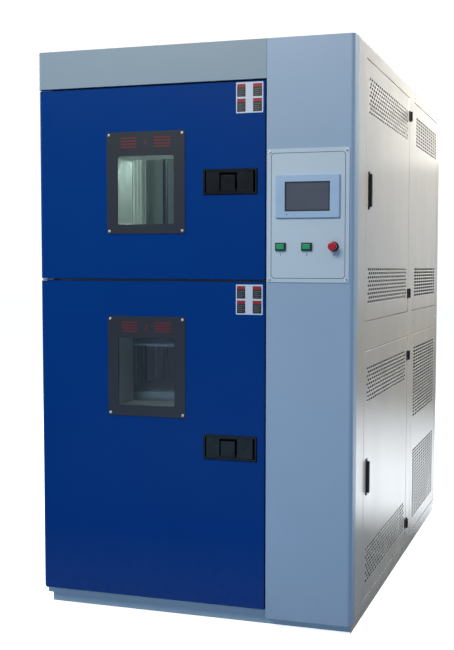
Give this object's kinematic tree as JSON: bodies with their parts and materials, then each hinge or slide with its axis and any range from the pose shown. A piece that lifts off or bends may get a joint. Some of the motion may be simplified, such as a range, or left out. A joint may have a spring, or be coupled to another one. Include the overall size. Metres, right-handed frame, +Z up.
{
  "type": "two-zone thermal shock test chamber",
  "caption": "Floor-standing environmental test cabinet: hot chamber over cold chamber, lifting basket, hinged windowed doors with flush latches, control column and slotted bay doors.",
  "frame": {"origin": "centre of the object's box, on the floor", "axes": "+X to the right seen from the front, -Y out of the front doors, +Z up"},
  "size_m": [1.1116, 1.852, 1.9],
  "materials": {
    "door_paint": "semi-gloss powder coat, deep blue",
    "trim_paint": "satin powder coat, pale grey blue",
    "side_paint": "textured powder coat, warm light grey",
    "base_paint": "satin powder coat, grey blue",
    "dark_plate": "matte, dark grey",
    "control_paint": "satin, pale blue",
    "stainless": "brushed",
    "zinc": "zinc plated",
    "insulation": "fibrous mat",
    "seal": "satin silicone",
    "window": "clear",
    "black_plastic": "fine texture",
    "latch_black": "semi-gloss",
    "bezel_plastic": "satin, pale blue",
    "screen": "glossy, dark",
    "green_lens": "glossy, green",
    "red_plastic": "glossy, red",
    "motor_paint": "semi-gloss, dark grey",
    "copper_fins": "mill finish",
    "nickel": "bright"
  },
  "bodies": {
    "cabinet": {"base_frame": "base_paint", "chamber_stand": "base_paint", "body_frame": "side_paint", "left_side_panel": "side_paint", "back_panel": "side_paint", "rear_bay_panels": "side_paint", "header_panel": "trim_paint", "control_column": "trim_paint", "control_plate": "control_paint", "panel_screws": "nickel", "hmi_bezel": "bezel_plastic", "hmi_screen": "screen", "switch_bezels": "black_plastic", "front_frame": "stainless", "hot_liner": "stainless", "cold_liner": "stainless", "chamber_insulation": "insulation", "door_hinge_brackets": "zinc", "lift_guides": "nickel", "fan_motors": "motor_paint", "air_baffles": "stainless", "heater": "stainless", "evaporator": "copper_fins", "compressors": "motor_paint", "condenser": "copper_fins", "electrical_panel": "zinc", "power_gland": "black_plastic", "service_hinge_posts": "black_plastic"},
    "hot_fan": {"hot_fan": "stainless"},
    "cold_fan": {"cold_fan": "stainless"},
    "condenser_fan": {"condenser_fan": "black_plastic"},
    "basket": {"basket_plates": "stainless", "basket_frame": "stainless"},
    "start_button": {"start_button": "green_lens"},
    "stop_button": {"stop_button": "green_lens"},
    "estop_head": {"estop_head": "red_plastic"},
    "upper_door": {"upper_door_skin": "door_paint", "upper_door_pan": "stainless", "upper_door_gasket": "seal", "upper_window_plate": "dark_plate", "upper_window_glass": "window", "upper_latch_housing": "latch_black"},
    "upper_latch_handle": {"upper_latch_handle": "latch_black"},
    "upper_latch_tab": {"upper_latch_tab": "latch_black"},
    "upper_latch_bolt": {"upper_latch_bolt": "zinc"},
    "upper_service_door": {"upper_service_door": "side_paint", "upper_service_hardware": "black_plastic"},
    "upper_service_lever": {"upper_service_lever": "black_plastic"},
    "lower_door": {"lower_door_skin": "door_paint", "lower_door_pan": "stainless", "lower_door_gasket": "seal", "lower_window_plate": "dark_plate", "lower_window_glass": "window", "lower_latch_housing": "latch_black"},
    "lower_latch_handle": {"lower_latch_handle": "latch_black"},
    "lower_latch_tab": {"lower_latch_tab": "latch_black"},
    "lower_latch_bolt": {"lower_latch_bolt": "zinc"},
    "lower_service_door": {"lower_service_door": "side_paint", "lower_service_hardware": "black_plastic"},
    "lower_service_lever": {"lower_service_lever": "black_plastic"}
  },
  "joints": [
    {"name": "upper_door_hinge", "type": "hinge", "parent": "cabinet", "child": "upper_door", "pos_m": [-0.53775, -0.868, 1.45], "axis": [0, 0, -1], "range_deg": [0, 120]},
    {"name": "upper_latch_pull", "type": "hinge", "parent": "upper_door", "child": "upper_latch_handle", "pos_m": [0.05725, -0.893, 1.454], "axis": [0, 0, -1], "range_deg": [0, 30], "stiffness_Nm_per_rad": 0.8, "springref_deg": -5.73},
    {"name": "upper_latch_release", "type": "hinge", "parent": "upper_latch_handle", "child": "upper_latch_tab", "pos_m": [0.10325, -0.8925, 1.4285], "axis": [-1, 0, 0], "range_deg": [0, 6], "stiffness_Nm_per_rad": 0.5, "springref_deg": -5.73},
    {"name": "upper_latch_bolt_slide", "type": "slide", "parent": "upper_door", "child": "upper_latch_bolt", "axis": [-1, 0, 0], "range_m": [0, 0.0105]},
    {"name": "upper_service_door_hinge", "type": "hinge", "parent": "cabinet", "child": "upper_service_door", "pos_m": [0.55025, 0.089, 1.43], "axis": [0, 0, 1], "range_deg": [0, 110]},
    {"name": "upper_service_lever_turn", "type": "hinge", "parent": "upper_service_door", "child": "upper_service_lever", "pos_m": [0.54425, -0.683, 1.4815], "axis": [1, 0, 0], "range_deg": [0, 90]},
    {"name": "lower_door_hinge", "type": "hinge", "parent": "cabinet", "child": "lower_door", "pos_m": [-0.53775, -0.868, 0.6], "axis": [0, 0, -1], "range_deg": [0, 120]},
    {"name": "lower_latch_pull", "type": "hinge", "parent": "lower_door", "child": "lower_latch_handle", "pos_m": [0.05725, -0.893, 0.59], "axis": [0, 0, -1], "range_deg": [0, 30], "stiffness_Nm_per_rad": 0.8, "springref_deg": -5.73},
    {"name": "lower_latch_release", "type": "hinge", "parent": "lower_latch_handle", "child": "lower_latch_tab", "pos_m": [0.10325, -0.8925, 0.5645], "axis": [-1, 0, 0], "range_deg": [0, 6], "stiffness_Nm_per_rad": 0.5, "springref_deg": -5.73},
    {"name": "lower_latch_bolt_slide", "type": "slide", "parent": "lower_door", "child": "lower_latch_bolt", "axis": [-1, 0, 0], "range_m": [0, 0.0105]},
    {"name": "lower_service_door_hinge", "type": "hinge", "parent": "cabinet", "child": "lower_service_door", "pos_m": [0.55025, 0.089, 0.48], "axis": [0, 0, 1], "range_deg": [0, 110]},
    {"name": "lower_service_lever_turn", "type": "hinge", "parent": "lower_service_door", "child": "lower_service_lever", "pos_m": [0.54425, -0.683, 0.5265], "axis": [1, 0, 0], "range_deg": [0, 90]},
    {"name": "basket_lift", "type": "slide", "parent": "cabinet", "child": "basket", "axis": [0, 0, 1], "range_m": [0, 0.46]},
    {"name": "hot_fan_spin", "type": "hinge", "parent": "cabinet", "child": "hot_fan", "pos_m": [-0.16075, -0.248, 1.446], "axis": [0, 1, 0], "continuous": true},
    {"name": "cold_fan_spin", "type": "hinge", "parent": "cabinet", "child": "cold_fan", "pos_m": [-0.16075, -0.248, 0.836], "axis": [0, 1, 0], "continuous": true},
    {"name": "condenser_fan_spin", "type": "hinge", "parent": "cabinet", "child": "condenser_fan", "pos_m": [-0.00575, 0.774, 0.31], "axis": [0, 1, 0], "continuous": true},
    {"name": "start_button_press", "type": "slide", "parent": "cabinet", "child": "start_button", "axis": [0, 1, 0], "range_m": [0, 0.003], "stiffness_N_per_m": 300, "springref_m": -0.003},
    {"name": "stop_button_press", "type": "slide", "parent": "cabinet", "child": "stop_button", "axis": [0, 1, 0], "range_m": [0, 0.003], "stiffness_N_per_m": 300, "springref_m": -0.003},
    {"name": "estop_press", "type": "slide", "parent": "cabinet", "child": "estop_head", "axis": [0, 1, 0], "range_m": [0, 0.004], "stiffness_N_per_m": 400, "springref_m": -0.003}
  ],
  "couplings": [
    {"joint": "upper_latch_bolt_slide", "follows": "upper_latch_pull", "m_per_rad": 0.02},
    {"joint": "lower_latch_bolt_slide", "follows": "lower_latch_pull", "m_per_rad": 0.02}
  ]
}
